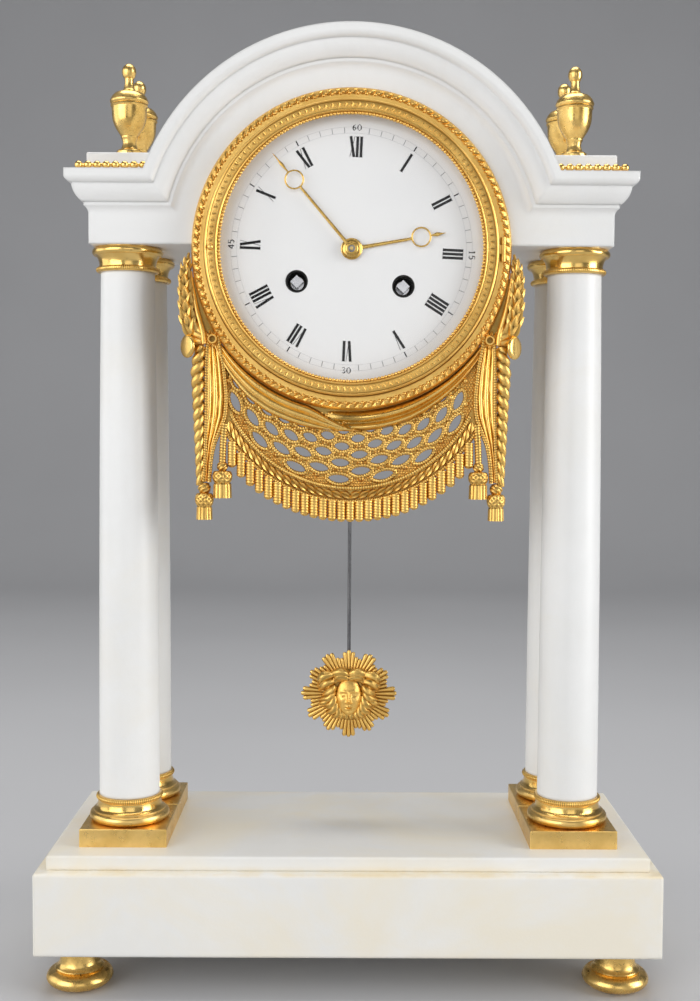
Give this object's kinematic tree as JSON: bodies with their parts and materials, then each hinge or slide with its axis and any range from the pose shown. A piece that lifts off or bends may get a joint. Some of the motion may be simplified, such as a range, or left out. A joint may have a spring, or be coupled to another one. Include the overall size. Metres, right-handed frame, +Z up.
{
  "type": "portico clock",
  "caption": "White marble portico clock with columns, arched head, gilt urns and bezel, pierced net swag, enamel dial with moving hands and a sun-mask pendulum.",
  "frame": {"origin": "on the table plane under the middle of the base", "axes": "+Z up, front with the dial towards -Y, +X to the viewer's right"},
  "size_m": [0.313, 0.13, 0.483],
  "materials": {
    "white_marble": "satin",
    "gilt_bronze": "burnished and matt gilding",
    "movement_brass": "brushed",
    "steel": "polished",
    "iron": "dark",
    "enamel": "gloss",
    "clear_glass": "clear",
    "bell_metal": "turned"
  },
  "bodies": {
    "case": {"base_slab": "white_marble", "base_step": "white_marble", "arch_head": "white_marble", "urn_blocks": "white_marble", "column_shaft_front_left": "white_marble", "column_shaft_rear_left": "white_marble", "column_shaft_front_right": "white_marble", "column_shaft_rear_right": "white_marble", "feet": "gilt_bronze", "column_plinths": "gilt_bronze", "bead_rows": "gilt_bronze", "bezel_ring": "gilt_bronze", "net_swag": "gilt_bronze", "swag_fold": "gilt_bronze", "fringe_border": "gilt_bronze", "garland_left": "gilt_bronze", "garland_right": "gilt_bronze", "drape_tail_left": "gilt_bronze", "drape_tail_right": "gilt_bronze", "tassels": "gilt_bronze", "curtain_pegs": "gilt_bronze", "column_base_front_left": "gilt_bronze", "column_base_rear_left": "gilt_bronze", "column_base_front_right": "gilt_bronze", "column_base_rear_right": "gilt_bronze", "column_capital_front_left": "gilt_bronze", "column_capital_rear_left": "gilt_bronze", "column_capital_front_right": "gilt_bronze", "column_capital_rear_right": "gilt_bronze", "urn_front_left": "gilt_bronze", "urn_rear_left": "gilt_bronze", "urn_front_right": "gilt_bronze", "urn_rear_right": "gilt_bronze", "movement_drum": "movement_brass", "front_plate": "movement_brass", "back_plate": "movement_brass", "suspension_cock": "movement_brass", "tie_rods": "iron", "dial": "enamel", "bell": "bell_metal"},
    "bezel_door": {"bezel_door": "gilt_bronze", "bezel_glass": "clear_glass"},
    "minute_hand": {"minute_hand": "gilt_bronze", "cannon_pinion": "steel"},
    "hour_hand": {"hour_hand": "gilt_bronze", "hour_wheel": "movement_brass"},
    "minute_wheel": {"minute_wheel": "movement_brass"},
    "third_wheel": {"third_wheel": "movement_brass"},
    "centre_wheel": {"centre_wheel": "movement_brass"},
    "second_wheel": {"second_wheel": "movement_brass"},
    "going_barrel": {"going_barrel": "movement_brass"},
    "escape_wheel": {"escape_wheel": "movement_brass"},
    "pendulum": {"pendulum_rod": "steel", "pendulum_bob": "gilt_bronze"},
    "anchor": {"anchor": "steel"},
    "going_arbor": {"going_arbor": "steel"},
    "strike_arbor": {"strike_arbor": "steel"},
    "strike_barrel": {"strike_barrel": "movement_brass"},
    "count_wheel": {"count_wheel": "movement_brass"},
    "hammer": {"hammer": "steel"}
  },
  "joints": [
    {"name": "bezel_door_hinge", "type": "hinge", "parent": "case", "child": "bezel_door", "pos_m": [0.0752, -0.0466, 0.3735], "axis": [0, 0, 1], "range_deg": [0, 100]},
    {"name": "minute_hand_turn", "type": "hinge", "parent": "case", "child": "minute_hand", "pos_m": [0, -0.0475, 0.3735], "axis": [0, 1, 0], "continuous": true},
    {"name": "hour_hand_turn", "type": "hinge", "parent": "case", "child": "hour_hand", "pos_m": [0, -0.0461, 0.3735], "axis": [0, 1, 0], "continuous": true},
    {"name": "minute_wheel_turn", "type": "hinge", "parent": "case", "child": "minute_wheel", "pos_m": [0, -0.036, 0.3855], "axis": [0, 1, 0], "continuous": true},
    {"name": "third_wheel_turn", "type": "hinge", "parent": "case", "child": "third_wheel", "pos_m": [-0.01188, -0.014, 0.38765], "axis": [0, 1, 0], "continuous": true},
    {"name": "centre_wheel_turn", "type": "hinge", "parent": "case", "child": "centre_wheel", "pos_m": [0, -0.002, 0.3735], "axis": [0, 1, 0], "continuous": true},
    {"name": "second_wheel_turn", "type": "hinge", "parent": "case", "child": "second_wheel", "pos_m": [0.01917, -0.029, 0.37844], "axis": [0, 1, 0], "continuous": true},
    {"name": "going_barrel_turn", "type": "hinge", "parent": "case", "child": "going_barrel", "pos_m": [0.02589, -0.016, 0.3554], "axis": [0, 1, 0], "continuous": true},
    {"name": "escape_wheel_turn", "type": "hinge", "parent": "case", "child": "escape_wheel", "pos_m": [0, -0.008, 0.397], "axis": [0, 1, 0], "continuous": true},
    {"name": "pendulum_swing", "type": "hinge", "parent": "case", "child": "pendulum", "pos_m": [0, 0.0151, 0.414], "axis": [0, 1, 0], "range_deg": [-4, 4]},
    {"name": "anchor_rock", "type": "hinge", "parent": "case", "child": "anchor", "pos_m": [0, 0, 0.414], "axis": [0, 1, 0], "range_deg": [-4, 4]},
    {"name": "going_winding", "type": "hinge", "parent": "case", "child": "going_arbor", "pos_m": [0.02589, -0.04, 0.3554], "axis": [0, 1, 0], "continuous": true},
    {"name": "strike_winding", "type": "hinge", "parent": "case", "child": "strike_arbor", "pos_m": [-0.02726, -0.04, 0.35753], "axis": [0, 1, 0], "continuous": true},
    {"name": "strike_barrel_turn", "type": "hinge", "parent": "case", "child": "strike_barrel", "pos_m": [-0.02726, -0.016, 0.35753], "axis": [0, 1, 0], "continuous": true},
    {"name": "count_wheel_turn", "type": "hinge", "parent": "case", "child": "count_wheel", "pos_m": [-0.03564, 0.007, 0.38055], "axis": [0, 1, 0], "continuous": true},
    {"name": "hammer_lift", "type": "hinge", "parent": "case", "child": "hammer", "pos_m": [0.044, 0.008, 0.3595], "axis": [0, 1, 0], "range_deg": [0, 14]}
  ],
  "couplings": [
    {"joint": "hour_hand_turn", "follows": "minute_hand_turn", "ratio": 0.083333},
    {"joint": "minute_wheel_turn", "follows": "minute_hand_turn", "ratio": -0.33333},
    {"joint": "centre_wheel_turn", "follows": "third_wheel_turn", "ratio": -0.1},
    {"joint": "second_wheel_turn", "follows": "third_wheel_turn", "ratio": 0.0125},
    {"joint": "going_barrel_turn", "follows": "third_wheel_turn", "ratio": -0.0017857},
    {"joint": "escape_wheel_turn", "follows": "third_wheel_turn", "ratio": -9.5},
    {"joint": "anchor_rock", "follows": "pendulum_swing", "ratio": 1},
    {"joint": "count_wheel_turn", "follows": "strike_barrel_turn", "ratio": -6}
  ]
}
